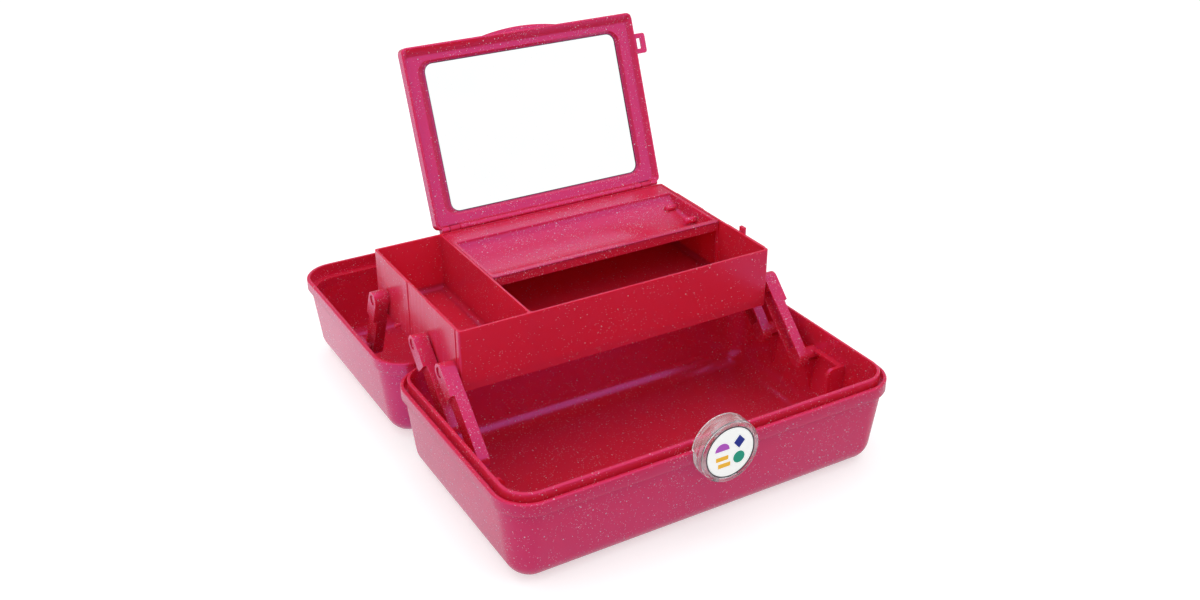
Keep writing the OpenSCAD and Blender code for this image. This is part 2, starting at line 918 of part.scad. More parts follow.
base_shell();
lid_shell();
case_pin(-hinge_x);  // case_pin_left
case_pin(hinge_x);  // case_pin_right
tray();
sub_tray();
mirror([1, 0, 0]) arm(front_foot, arm_open_deg, arm_len);  // front_arm_left
arm(front_foot, arm_open_deg, arm_len);  // front_arm_right
mirror([1, 0, 0]) arm(mid_foot, arm_open_deg, arm_len);  // mid_arm_left
arm(mid_foot, arm_open_deg, arm_len);  // mid_arm_right
mirror([1, 0, 0]) arm(rear_foot, rear_open_deg, rear_arm_len);  // rear_arm_left
arm(rear_foot, rear_open_deg, rear_arm_len);  // rear_arm_right
mirror_frame();
mirror_glass();
mirror_back();
mirror_pin(mirror_hinges[0]);  // mirror_pin_left
mirror_pin(mirror_hinges[1]);  // mirror_pin_right
latch_body();
latch_disc();
latch_ring();
latch_pin();
handle();
mirror([1, 0, 0]) handle_pin();  // handle_pin_left
handle_pin();  // handle_pin_right
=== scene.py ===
"""Looks of a hinged makeup case, shown open: base half, lid half, a tray on six lift
arms, a loose sub-tray, a flip-up mirror, a clear round latch and a folding handle.
Lengths are in millimetres until a mesh is made, and X, Y, Z are those of the CAD part."""

import bmesh
import bpy
import numpy as np
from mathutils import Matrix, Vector


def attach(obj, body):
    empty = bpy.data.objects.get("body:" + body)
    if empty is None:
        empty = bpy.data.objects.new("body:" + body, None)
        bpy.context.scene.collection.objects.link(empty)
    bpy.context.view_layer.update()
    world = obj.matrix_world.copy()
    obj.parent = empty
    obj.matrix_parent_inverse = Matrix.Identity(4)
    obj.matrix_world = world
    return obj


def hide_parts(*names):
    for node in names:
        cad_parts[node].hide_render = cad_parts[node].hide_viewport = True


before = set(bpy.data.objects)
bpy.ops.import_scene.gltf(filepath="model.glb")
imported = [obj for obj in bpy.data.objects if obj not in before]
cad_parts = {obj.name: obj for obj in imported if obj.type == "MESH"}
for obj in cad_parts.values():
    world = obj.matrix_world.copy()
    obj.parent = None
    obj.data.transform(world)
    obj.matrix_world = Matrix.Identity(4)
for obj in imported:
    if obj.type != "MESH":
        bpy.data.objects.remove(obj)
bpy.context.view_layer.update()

# ---- Camera -------------------------------------------------------------------------
# An upright camera before the case's front left corner that looks down on it, as for the
# photo. Its place and focal length were solved from the corners of rims and mirror.
focal_pixels, picture_pixels = 1317.9, 1200
camera_data = bpy.data.cameras.new("camera")
camera_data.sensor_width = 36
camera_data.lens = focal_pixels / picture_pixels * camera_data.sensor_width
camera_data.clip_end = 50
camera = bpy.data.objects.new("camera", camera_data)
bpy.context.scene.collection.objects.link(camera)
camera.location = Vector((-473.77, -742.03, 601.79)) / 1000
camera_aim = Vector((50.53, 155.1, 60)) / 1000
camera.rotation_euler = (camera_aim - camera.location).to_track_quat("-Z", "Y").to_euler()
bpy.context.scene.camera = camera

# ---- Studio -------------------------------------------------------------------------
# A white sweep lit by soft lamps over the front, the back and the left; its sizes are in
# metres. Gloss sees a grey room with a white card at the front right, a pale canopy and a
# floor that is dark in front. The camera and clear plastic see white.


def linear(hex_colour):
    """An sRGB hex colour as linear RGBA: ((c + 0.055) / 1.055) ^ 2.4, or c / 12.92."""
    c = np.array([int(hex_colour[i:i + 2], 16) for i in (1, 3, 5)]) / 255
    c = np.where(c > 0.04045, ((c + 0.055) / 1.055) ** 2.4, c / 12.92)
    return (*map(float, c), 1.0)


def add_node(tree, kind, inputs=None, **settings):
    """Adds a shader node, sets its properties, then sets or links its inputs."""
    node = tree.nodes.new(kind)
    for name, value in settings.items():
        setattr(node, name, value)
    for name, value in (inputs or {}).items():
        if isinstance(value, bpy.types.NodeSocket):
            tree.links.new(value, node.inputs[name])
        else:
            node.inputs[name].default_value = value
    return node


world = bpy.data.worlds.new("white_studio")
bpy.context.scene.world = world
world.use_nodes = True
tree = world.node_tree
tree.nodes.clear()
path = add_node(tree, "ShaderNodeLightPath")
heading = add_node(tree, "ShaderNodeTexCoord").outputs["Generated"]
# the card is white to 15 degrees from its middle and fades out at 31
toward_card = add_node(tree, "ShaderNodeVectorMath", {0: heading, 1: (0.47, -0.81, 0.35)},
                       operation="DOT_PRODUCT")
card = add_node(tree, "ShaderNodeMapRange", {0: toward_card.outputs["Value"], 1: 0.86, 2: 0.965,
                3: 0.4, 4: 1.02}, interpolation_type="SMOOTHSTEP")
# the canopy starts 30 degrees above the horizon and is full at 64
upward = add_node(tree, "ShaderNodeSeparateXYZ", {"Vector": heading})
canopy = add_node(tree, "ShaderNodeMapRange", {0: upward.outputs["Z"], 1: 0.5, 2: 0.9,
                  3: 0.4, 4: 0.9}, interpolation_type="SMOOTHSTEP")
room = add_node(tree, "ShaderNodeMath", {0: card.outputs[0], 1: canopy.outputs[0]},
                operation="MAXIMUM")
light = add_node(tree, "ShaderNodeBackground", {"Color": linear("#FFFFFF"), "Strength": 0.72})
gloss = add_node(tree, "ShaderNodeBackground", {"Color": linear("#FFFFFF"),
                 "Strength": room.outputs[0]})
white = add_node(tree, "ShaderNodeBackground", {"Color": linear("#FFFFFF"), "Strength": 1.0})
lit = add_node(tree, "ShaderNodeMixShader", {0: path.outputs["Is Glossy Ray"],
               1: light.outputs[0], 2: gloss.outputs[0]})
seen = add_node(tree, "ShaderNodeMath", {0: path.outputs["Is Camera Ray"],
                1: path.outputs["Is Transmission Ray"]}, operation="MAXIMUM")
shown = add_node(tree, "ShaderNodeMixShader", {0: seen.outputs[0],
                 1: lit.outputs[0], 2: white.outputs[0]})
add_node(tree, "ShaderNodeOutputWorld", {"Surface": shown.outputs[0]})

# matt paper takes a soft, faint shadow. Gloss sees it dark where it lies 0.32 m or more in
# front of the base's middle, and it brightens from there to 0.3 m behind it
paper = bpy.data.materials.new("white_sweep_paper")
paper.use_nodes = True
tree = paper.node_tree
tree.nodes.clear()
path = add_node(tree, "ShaderNodeLightPath")
matt = add_node(tree, "ShaderNodeBsdfDiffuse", {"Color": linear("#D2D6D6")})
lift = add_node(tree, "ShaderNodeEmission", {"Color": linear("#FFFFFF"), "Strength": 0.55})
dark = add_node(tree, "ShaderNodeEmission", {"Strength": 0.0})
lifted = add_node(tree, "ShaderNodeMixShader", {0: path.outputs["Is Camera Ray"],
                  1: dark.outputs[0], 2: lift.outputs[0]})
lit = add_node(tree, "ShaderNodeAddShader", {0: matt.outputs[0], 1: lifted.outputs[0]})
reach = add_node(tree, "ShaderNodeSeparateXYZ",
                 {"Vector": add_node(tree, "ShaderNodeTexCoord").outputs["Object"]})
fade = add_node(tree, "ShaderNodeMapRange", {0: reach.outputs["Y"], 1: -0.32, 2: 0.0,
                3: 0.14, 4: 0.9})
behind = add_node(tree, "ShaderNodeMapRange", {0: reach.outputs["Y"], 1: 0.1, 2: 0.3,
                  3: 0.0, 4: 0.22})
bare = add_node(tree, "ShaderNodeMath", {0: fade.outputs[0], 1: behind.outputs[0]})
bare = add_node(tree, "ShaderNodeMath", {0: bare.outputs[0],
                1: path.outputs["Is Transmission Ray"]}, operation="MAXIMUM")
plain = add_node(tree, "ShaderNodeEmission", {"Color": linear("#FFFFFF"),
                 "Strength": bare.outputs[0]})
mirrored = add_node(tree, "ShaderNodeMath", {0: path.outputs["Is Glossy Ray"],
                    1: path.outputs["Is Transmission Ray"]}, operation="MAXIMUM")
paper_shader = add_node(tree, "ShaderNodeMixShader", {0: mirrored.outputs[0],
                        1: lit.outputs[0], 2: plain.outputs[0]})
add_node(tree, "ShaderNodeOutputMaterial", {"Surface": paper_shader.outputs[0]})
floor_mesh = bpy.data.meshes.new("floor")
floor_mesh.from_pydata([(-6, -6, 0), (6, -6, 0), (6, 6, 0), (-6, 6, 0)], [], [(0, 1, 2, 3)])
floor_mesh.materials.append(paper)
floor = bpy.data.objects.new("floor", floor_mesh)
floor.location.z = -0.0005
bpy.context.scene.collection.objects.link(floor)

for name, place, size, power in (("front_softbox", (0.35, -0.7, 1.9), 1.5, 6.5),
                                 ("back_softbox", (-0.35, 0.55, 1.9), 1.4, 8),
                                 ("left_softbox", (-1.6, 0.1, 1.2), 1.0, 3)):
    lamp = bpy.data.lights.new(name, "AREA")
    lamp.size = size
    lamp.energy = power
    softbox = bpy.data.objects.new(name, lamp)
    softbox.location = place
    softbox.visible_glossy = False
    toward_case = Vector((0, 0.1, 0.1)) - softbox.location
    softbox.rotation_euler = toward_case.to_track_quat("-Z", "Y").to_euler()
    bpy.context.scene.collection.objects.link(softbox)

bpy.context.scene.view_settings.view_transform = "Standard"

# ---- Base half ----------------------------------------------------------------------
# The lower tub, one injection moulding of polypropylene, dyed pink, with silver polyester
# flakes of about 0.2 mm mixed in. Its skin is smooth and softly shiny, and every edge
# of the mould left a small round. Pins hold the lid and the latch on it, and clips the arms.


def glitter_plastic(name, flakes=1.0, drag=0.0, ior=1.7, pink=("#DB2B46", "#D62943")):
    """Pink moulded plastic with two sizes of silver flakes. A flake is the ball round a
    Voronoi cell's point, in the cells whose random number is over a limit, and there are
    more of them where a slow noise is high. Each flake is partly metal, leans its own way
    and isn't clouded, so it glints in the deep, waxy pink round it. Drag adds the fine
    upright marks that a tall outer wall gets as it leaves the mould."""
    material = bpy.data.materials.new(name)
    material.use_nodes = True
    tree = material.node_tree
    tree.nodes.clear()
    place = add_node(tree, "ShaderNodeTexCoord").outputs["Object"]
    # the dye flowed unevenly, in clouds of about 70 mm
    flow = add_node(tree, "ShaderNodeTexNoise", {"Vector": place, "Scale": 14.0, "Detail": 3.0})
    colour = add_node(tree, "ShaderNodeMix", {"Factor": flow.outputs[0], "A": linear(pink[0]),
                      "B": linear(pink[1])}, data_type="RGBA").outputs[2]
    if drag:
        # marks 2 to 6 mm apart across an end wall and 80 mm long up it, on the outside only
        end_wall_x = 0.1388
        upright = add_node(tree, "ShaderNodeMapping", {"Vector": place,
                           "Scale": (0.0, 260.0, 12.0)})
        marks = add_node(tree, "ShaderNodeTexNoise", {"Vector": upright.outputs[0],
                         "Scale": 1.0, "Detail": 3.0})
        strong = add_node(tree, "ShaderNodeMapRange", {0: marks.outputs[0], 1: 0.5, 2: 0.75})
        across = add_node(tree, "ShaderNodeSeparateXYZ", {"Vector": place})
        off = add_node(tree, "ShaderNodeMath", {0: across.outputs["X"]}, operation="ABSOLUTE")
        outer = add_node(tree, "ShaderNodeMath", {0: off.outputs[0], 1: end_wall_x},
                         operation="GREATER_THAN")
        pale = add_node(tree, "ShaderNodeMath", {0: strong.outputs[0], 1: drag},
                        operation="MULTIPLY")
        pale = add_node(tree, "ShaderNodeMath", {0: pale.outputs[0], 1: outer.outputs[0]},
                        operation="MULTIPLY")
        colour = add_node(tree, "ShaderNodeMix", {"Factor": pale.outputs[0], "A": colour,
                          "B": linear("#F58CBC")}, data_type="RGBA").outputs[2]
    # flakes crowd together in patches of about 20 mm
    crowd = add_node(tree, "ShaderNodeTexNoise", {"Vector": place, "Scale": 45.0,
                     "Detail": 1.0})
    silver, lean = None, None
    # turned so that no flat wall runs along a layer of cells and shows rows of flakes
    skewed = add_node(tree, "ShaderNodeMapping", {"Vector": place, "Rotation": (0.5, 0.7, 0.3)})
    # real flakes are 0.2 mm; these are drawn 1 mm and 0.6 mm wide so that they show
    for cell, radius, share, strength in ((2.6, 0.5, 0.17, 1.0), (1.2, 0.3, 0.3, 0.65)):
        cells = add_node(tree, "ShaderNodeTexVoronoi", {"Vector": skewed.outputs[0],
                         "Scale": 1000 / cell})
        near = add_node(tree, "ShaderNodeMath", {0: cells.outputs["Distance"],
                        1: radius / cell}, operation="LESS_THAN")
        random = add_node(tree, "ShaderNodeSeparateColor", {"Color": cells.outputs["Color"]})
        limit = add_node(tree, "ShaderNodeMapRange", {0: crowd.outputs[0], 1: 0.3, 2: 0.7,
                         3: 1 - 0.25 * share * flakes, 4: max(1 - 1.6 * share * flakes, 0.1)})
        chosen = add_node(tree, "ShaderNodeMath", {0: random.outputs[0], 1: limit.outputs[0]},
                          operation="GREATER_THAN")
        flake = add_node(tree, "ShaderNodeMath", {0: near.outputs[0], 1: chosen.outputs[0]},
                         operation="MULTIPLY")
        bright = add_node(tree, "ShaderNodeMath", {0: random.outputs[1], 1: 0.6},
                          operation="POWER")
        bright = add_node(tree, "ShaderNodeMath", {0: bright.outputs[0], 1: strength},
                          operation="MULTIPLY")
        glint = add_node(tree, "ShaderNodeMath", {0: flake.outputs[0], 1: bright.outputs[0]},
                         operation="MULTIPLY")
        tilt = add_node(tree, "ShaderNodeVectorMath", {0: cells.outputs["Color"],
                        1: (0.5, 0.5, 0.5)}, operation="SUBTRACT")
        tilt = add_node(tree, "ShaderNodeVectorMath", {0: tilt.outputs[0],
                        "Scale": flake.outputs[0]}, operation="SCALE")
        if silver is None:
            silver, lean = glint.outputs[0], tilt.outputs[0]
        else:
            silver = add_node(tree, "ShaderNodeMath", {0: silver, 1: glint.outputs[0]},
                              operation="MAXIMUM").outputs[0]
            lean = add_node(tree, "ShaderNodeVectorMath", {0: lean, 1: tilt.outputs[0]},
                            operation="ADD").outputs[0]
    colour = add_node(tree, "ShaderNodeMix", {"Factor": silver, "A": colour,
                      "B": linear("#FFF6FA")}, data_type="RGBA").outputs[2]
    metal = add_node(tree, "ShaderNodeMath", {0: silver, 1: 0.2}, operation="MULTIPLY")
    cloudy = add_node(tree, "ShaderNodeMapRange", {0: silver, 3: 0.6, 4: 0.0})
    # the moulded skin has waves of about 6 mm
    skin = add_node(tree, "ShaderNodeTexNoise", {"Vector": place, "Scale": 160.0,
                    "Detail": 2.0}).outputs[0]
    bump = add_node(tree, "ShaderNodeBump", {"Height": skin, "Strength": 0.05,
                    "Distance": 0.0004}).outputs[0]
    facing = add_node(tree, "ShaderNodeVectorMath", {0: bump, 1: lean}, operation="ADD")
    facing = add_node(tree, "ShaderNodeVectorMath", {0: facing.outputs[0]},
                      operation="NORMALIZE")
    plastic = add_node(tree, "ShaderNodeBsdfPrincipled", {
        "Base Color": colour, "Metallic": metal.outputs[0], "Roughness": 0.24, "IOR": ior,
        "Subsurface Weight": cloudy.outputs[0], "Subsurface Radius": (6.0, 0.3, 0.4),
        "Subsurface Scale": 0.001, "Specular IOR Level": 1.0,
        "Specular Tint": linear("#F386FF"), "Normal": facing.outputs[0]})
    add_node(tree, "ShaderNodeOutputMaterial", {"Surface": plastic.outputs[0]})
    return material


def finish_mesh(name, points, faces, material, sharp=38):
    """A piece from points in millimetres and its faces: doubles merged, faces turned
    outwards, and shaded smooth except at edges that turn more than sharp degrees."""
    mesh = bpy.data.meshes.new(name)
    mesh.from_pydata((np.asarray(points) / 1000).tolist(), [], np.asarray(faces).tolist())
    work = bmesh.new()
    work.from_mesh(mesh)
    bmesh.ops.remove_doubles(work, verts=work.verts, dist=2e-6)
    bmesh.ops.recalc_face_normals(work, faces=work.faces)
    work.to_mesh(mesh)
    work.free()
    mesh.shade_smooth()
    mesh.set_sharp_from_angle(angle=np.radians(sharp))
    mesh.materials.append(material)
    piece = bpy.data.objects.new(name, mesh)
    bpy.context.scene.collection.objects.link(piece)
    return piece


def triangles(node_name):
    """A CAD node's points, in millimetres, and its triangles as two arrays."""
    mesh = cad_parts[node_name].data
    points = np.empty(3 * len(mesh.vertices))
    mesh.vertices.foreach_get("co", points)
    corners = np.empty(len(mesh.loops), int)
    mesh.loops.foreach_get("vertex_index", corners)
    return 1000 * points.reshape(-1, 3), corners.reshape(-1, 3)


def softened(node_name, material, width, segments=3, sharp=38):
    """A copy of a CAD node with its edges rounded, as a mould leaves them: flat faces
    joined, then a bevel of this width where an edge turns more than sharp degrees."""
    piece = finish_mesh(node_name + "_moulding", *triangles(node_name), material, sharp)
    work = bmesh.new()
    work.from_mesh(piece.data)
    bmesh.ops.dissolve_limit(work, angle_limit=np.radians(0.3), verts=work.verts,
                             edges=work.edges)
    work.to_mesh(piece.data)
    work.free()
    rounds = piece.modifiers.new("mould_rounds", "BEVEL")
    rounds.width = width / 1000
    rounds.segments = segments
    rounds.limit_method = "ANGLE"
    rounds.angle_limit = np.radians(sharp)
    rounds.harden_normals = True
    rounds.use_clamp_overlap = True
    return piece


def place_piece(piece, body, slot, *nodes):
    """Sets a piece on the body that carries it, in place of these CAD nodes, which it hides.
    The slot is not used."""
    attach(piece, body)
    if nodes:
        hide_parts(*nodes)


case_plastic = glitter_plastic("moulded_glitter_polypropylene")
base_half = softened("base_shell", case_plastic, 0.3)
place_piece(base_half, "base", "case_plastic", "base_shell")

# ---- Lid half -----------------------------------------------------------------------
# The upper tub, the same moulding with a rabbet for the base's tongue and a recess for
# the handle. It lies open behind the base and hangs on the base's hinge pins.
lid_half = softened("lid_shell", case_plastic, 0.3)
place_piece(lid_half, "lid", "case_plastic", "lid_shell")

# ---- Tray ---------------------------------------------------------------------------
# A deep box with one partition, moulded in the same plastic. Its walls are 1.8 mm thick,
# with round rims, coves along the floors and faint upright drag marks on the end walls.


def rounded_outline(x0, x1, y0, y1, r, corner=6, side=1):
    """Points round a rectangle, anticlockwise. Each corner is an arc of radius r about a
    point r inside both edges, and each edge is cut into equal lengths."""
    turn = np.radians(np.linspace(0, 90, corner + 1))
    middles = ((x1 - r, y1 - r), (x0 + r, y1 - r), (x0 + r, y0 + r), (x1 - r, y0 + r))
    arcs = [np.c_[cx + r * np.cos(turn + k * np.pi / 2), cy + r * np.sin(turn + k * np.pi / 2)]
            for k, (cx, cy) in enumerate(middles)]
    along = np.linspace(0, 1, side + 1)[1:-1, None]
    parts = []
    for k, arc in enumerate(arcs):
        parts += [arc, arc[-1] + along * (arcs[(k + 1) % 4][0] - arc[-1])]
    return np.vstack(parts)


def loft(rings, ends="closed", hold=0.1):
    """Quads from each closed outline to the next. The two ends are closed by shrinking
    them to their middles ("closed"), joined to each other ("joined") or left ("open").
    Every step over 1 mm gets one more outline close to each end, so that the shading of
    a flat doesn't bend towards the round beside it."""
    rings = np.asarray(rings, float)
    parts = [rings[:1]]
    for near, far in zip(rings[:-1], rings[1:]):
        length = np.linalg.norm(far - near, axis=1).max()
        share = hold / length if length > 1 else 0
        parts.append([near + share * (far - near), far - share * (far - near), far]
                     if share else [far])
    rings = np.vstack(parts)
    if ends == "closed":
        middle = rings[[0, -1]].mean(1, keepdims=True) + 0 * rings[[0, -1]]
        rings = np.concatenate([middle[:1], rings, middle[1:]])
    m, n = rings.shape[:2]
    i = np.arange(m if ends == "joined" else m - 1)[:, None]
    j = np.arange(n)[None, :]
    k = (j + 1) % n
    faces = np.stack([i * n + j, i * n + k, (i + 1) % m * n + k, (i + 1) % m * n + j], -1)
    return rings.reshape(-1, 3), faces.reshape(-1, 4)


def gathered(*surfaces):
    """Several surfaces as one list of points and one of faces."""
    starts = np.cumsum([0] + [len(points) for points, faces in surfaces])
    return (np.vstack([points for points, faces in surfaces]),
            np.vstack([faces + start for (points, faces), start in zip(surfaces, starts)]))


def floor_cove(x0, x1, y0, y1, z, r):
    """The cove between a bay's walls and its floor: a quarter circle of radius r about a
    point r from both, carried round the bay and closed behind its face."""
    turn = np.radians(np.linspace(0, 90, 7))
    inset = np.r_[r - r * np.cos(turn), r, -0.4, -0.4]
    height = np.r_[r - r * np.sin(turn), -0.4, -0.4, r]
    rings = []
    for e, h in zip(inset, height):
        o = rounded_outline(x0 + e, x1 - e, y0 + e, y1 - e, max(3 - e, 0.4))
        rings.append(np.c_[o, np.full(len(o), z + h)])
    return loft(rings, "joined")


# the tray's skin has a finer texture, so it shines less and shows fewer flakes
tray_plastic = glitter_plastic("moulded_glitter_polypropylene_tray", flakes=0.5, drag=0.15,
                               ior=1.5)
tray_box = softened("tray", tray_plastic, 0.55)
place_piece(tray_box, "tray", "tray_plastic", "tray")

tray_x, tray_wall, partition_x = 139.9, 1.8, -80.5
bay_y, tray_floor, floor_cove_r = (35.0, 195.1), 88.9, 4.5
bays = ((-tray_x + tray_wall, partition_x - tray_wall / 2),
        (partition_x + tray_wall / 2, tray_x - tray_wall))
coves = finish_mesh("tray_coves", *gathered(*(
    floor_cove(*bay, *bay_y, tray_floor, floor_cove_r) for bay in bays)), tray_plastic)
place_piece(coves, "tray", "tray_plastic")

# ---- Sub-tray -----------------------------------------------------------------------
# A loose trough for pencils and brushes that rests on two rails in the tray. It is a
# 1.6 mm thick moulding with a flat rim, a turned-down front edge and soft coves.
sub_x0, sub_x1, sub_y0, sub_y1, sub_top = -79.2, 137.7, 101.1, 194.7, 138.1
trough_y0, trough_y1, trough_in = 106.1, 175.1, 3.2
trough_wall, trough_drop, cove_r, sub_wall = 5.0, 8.5, 4.0, 1.6


def trough_floor(y):
    """Height of the trough's floor: an arc that drops by trough_drop in the middle, of
    radius (half width ^ 2 + drop ^ 2) / (2 drop)."""
    half = (trough_y1 - trough_y0) / 2
    bend = (half ** 2 + trough_drop ** 2) / (2 * trough_drop)
    off = np.clip(np.abs(y - (trough_y0 + half)), 0, half)
    return sub_top - trough_wall - trough_drop + bend - np.sqrt(bend ** 2 - off ** 2)


def trough_ring(inset, height, r, over_floor=False):
    """One outline of the trough at a height under the rim, or above its own floor."""
    o = rounded_outline(sub_x0 + trough_in + inset, sub_x1 - trough_in - inset,
                        trough_y0 + inset, trough_y1 - inset, r, side=16)
    z = trough_floor(o[:, 1]) + height if over_floor else np.full(len(o), sub_top + height)
    return np.c_[o, z]


def rim_ring(inset, height, r):
    """One outline of the sub-tray's rim."""
    o = rounded_outline(sub_x0 + inset, sub_x1 - inset, sub_y0 + inset, sub_y1 - inset, r,
                        side=16)
    return np.c_[o, np.full(len(o), sub_top + height)]


turn = np.radians(np.linspace(0, 90, 9))
narrow = np.linspace(cove_r, (trough_y1 - trough_y0) / 2, 12)[1:]
upper = ([rim_ring(0, -1.4, 2.6), rim_ring(0, -0.6, 2.6), rim_ring(0.2, -0.2, 2.4),
          rim_ring(0.7, 0, 2.0), trough_ring(-0.8, 0, 2.6), trough_ring(-0.25, -0.2, 2.2),
          trough_ring(0, -0.8, 2.0)]
         + [trough_ring(cove_r - cove_r * np.cos(a), cove_r - cove_r * np.sin(a),
                        2 + cove_r - cove_r * np.cos(a), True) for a in turn]
         + [trough_ring(e, 0, max(9 - (e - cove_r), 0), True) for e in narrow])
lower = ([trough_ring(e, -sub_wall, max(9 - (e - cove_r), 0), True) for e in narrow[::-1]]
         + [trough_ring(cove_r - (cove_r + sub_wall) * np.cos(a),
                        cove_r - (cove_r + sub_wall) * np.sin(a),
                        3 + cove_r - cove_r * np.cos(a), True) for a in turn[::-1]]
         + [trough_ring(-sub_wall, -2, 3), rim_ring(0.4, -2, 2.2)])


def rounded_bar(x, y, z, corner, edge, steps=3):
    """A bar along X between limits x, y and z. Its outline across X has corners of radius
    corner, and shrinks over a quarter turn of radius edge at both ends."""
    turn = np.radians(np.linspace(0, 90, steps + 1))
    inset = edge * (1 - np.sin(turn))
    along = edge * (1 - np.cos(turn))
    rings = [(x[0] + a, e) for a, e in zip(along, inset)]
    rings += [(x[1] - a, e) for a, e in zip(along[::-1], inset[::-1])]
    outline = [(place, rounded_outline(y[0] + e, y[1] - e, z[0] + e, z[1] - e,
                                       max(corner - e, 0))) for place, e in rings]
    return loft([np.c_[np.full(len(o), place), o] for place, o in outline])


# the rim turns down along the front, and two round rests stand at the trough's right end
edge_drop = 9.0
front_edge = rounded_bar((sub_x0 + 0.6, sub_x1 - 0.6), (sub_y0 + 0.1, sub_y0 + 0.1 + sub_wall),
                         (sub_top - edge_drop, sub_top - 0.7), 0.6, 0.5)
rests = [rounded_bar((sub_x1 - 15, sub_x1 - 2.4), (y - 3, y + 3), (sub_top - 12, sub_top - 6),
                     3, 1.5, 5) for y in (trough_y0 + 26, trough_y1 - 12)]
sub_tray_plastic = glitter_plastic("moulded_glitter_polypropylene_sub_tray", flakes=1.7)
sub_tray = finish_mesh("sub_tray_moulding", *gathered(loft(lower + upper, "open"), front_edge,
                                                      *rests), sub_tray_plastic)
place_piece(sub_tray, "tray", "tray_plastic", "sub_tray")

# ---- Lift arms ----------------------------------------------------------------------
# Six arms that raise the tray as the lid opens, moulded in the same plastic: a thick head
# that snaps on the tray's boss and a U-section below it that ends in a peg.
arm_plastic = glitter_plastic("moulded_glitter_polypropylene_arms", flakes=2.0)
for pair in ("front", "mid", "rear"):
    for side in ("left", "right"):
        node_name = f"{pair}_arm_{side}"
        place_piece(softened(node_name, arm_plastic, 0.6), pair + "_arms", "arm_plastic",
                    node_name)

# ---- Mirror frame -------------------------------------------------------------------
# A shallow moulded dish that leans back on the tray's rear edge: a round lip, a cove, a
# flat border and a bevel down to the window. A rail hides the hinge's gap, a bowed lip
# lifts it, and a slotted tab snaps over the tray's peg.
mirror_axis, lean = (199.6, 139.6), np.radians(20.8)
frame_x0, frame_x1, frame_l, frame_t = -82.2, 140.1, 154.0, 10.0
window = ((frame_x0 + frame_x1) / 2 - 92.5, (frame_x0 + frame_x1) / 2 + 92.5, 12.5, 139.0)
hinge_places, knuckle_gap, knuckle_r, axis_z = (-66.2, 124.1), 5.0, 2.5, -1.0


def leaned(surface):
    """Turns a surface drawn flat, with Y up the frame and Z out of its front, about the
    mirror's hinge line until it leans back: a rotation about X by 90 degrees less lean."""
    points, faces = surface
    up, out = points[:, 1], points[:, 2] - axis_z
    return np.c_[points[:, 0], mirror_axis[0] + up * np.sin(lean) - out * np.cos(lean),
                 mirror_axis[1] + up * np.cos(lean) + out * np.sin(lean)], faces


def frame_ring(left, right, bottom, top, r, z):
    """One outline of the frame, set in from its four outer edges, at the height z."""
    o = rounded_outline(frame_x0 + left, frame_x1 - right, bottom, frame_l - top, r, corner=8)
    return np.c_[o, np.full(len(o), z)]


def window_ring(grow, r, z):
    """One outline round the window, grown by (left, right, bottom, top)."""
    o = rounded_outline(window[0] - grow[0], window[1] + grow[1], window[2] - grow[2],
                        window[3] + grow[3], r, corner=8)
    return np.c_[o, np.full(len(o), z)]


# the cove falls from the lip to the border, steeply at first, and ends this far in from
# the left, right, bottom and top edges
cove = np.linspace(0, 1, 9)[:, None]
cove_start, cove_end = 2.1, np.array([3.2, 6.2, 3.4, 9.0])
lip_z, border_z, step_z, glass_z = -0.5, -3.4, -5.4, -6.0
cove_insets = cove_start + (cove_end - cove_start) * cove
cove_depths = lip_z + (border_z - lip_z) * (1 - (1 - cove[:, 0]) ** 1.5)
section = ([frame_ring(*(inset,) * 4, r, z) for inset, r, z in (
                (0.5, 4.6, -frame_t), (0, 5, -frame_t + 0.5), (0, 5, -1.2), (0.25, 4.8, lip_z),
                (0.8, 4.4, -0.1), (1.2, 4.1, 0), (1.7, 3.8, -0.15))]
           + [frame_ring(*insets, 3.5, z) for insets, z in zip(cove_insets, cove_depths)]
           + [window_ring(grow, r, z) for grow, r, z in (
                ((7.0, 3.6, 2.2, 2.4), 11, border_z),
                ((6.5, 3.2, 1.9, 2.1), 11, border_z - 0.1),
                ((1.5, 1.0, 0.8, 0.8), 8.8, step_z),
                ((1.0, 0.7, 0.6, 0.6), 8.5, step_z - 0.05), ((0.2,) * 4, 8.1, step_z),
                ((0,) * 4, 8, step_z - 0.2), ((0,) * 4, 8, glass_z))]
           + [frame_ring(2, 2, 5, 2, 3.5, z) for z in (glass_z, -frame_t)])
frame_plastic = glitter_plastic("moulded_glitter_polypropylene_frame", flakes=1.3)
frame_body = finish_mesh("frame_body", *leaned(loft(section, "joined")), frame_plastic)
# notches in the lower edge leave room for the tray's hinge lugs
cutter = finish_mesh("hinge_cuts", *leaned(gathered(*(
    rounded_bar((x - knuckle_gap, x + knuckle_gap), (-6, 3), (-4.5, 3), 0, 0, 1)
    for x in hinge_places))), frame_plastic)
cut = frame_body.modifiers.new("hinge_cuts", "BOOLEAN")
cut.object = cutter
cut.solver = "EXACT"
bpy.context.view_layer.update()
cut_mesh = bpy.data.meshes.new_from_object(
    frame_body.evaluated_get(bpy.context.evaluated_depsgraph_get()))
frame_body.modifiers.clear()
frame_body.data = cut_mesh
cut_mesh.set_sharp_from_angle(angle=np.radians(38))
bpy.data.objects.remove(cutter)
place_piece(frame_body, "mirror", "frame_plastic", "mirror_frame")

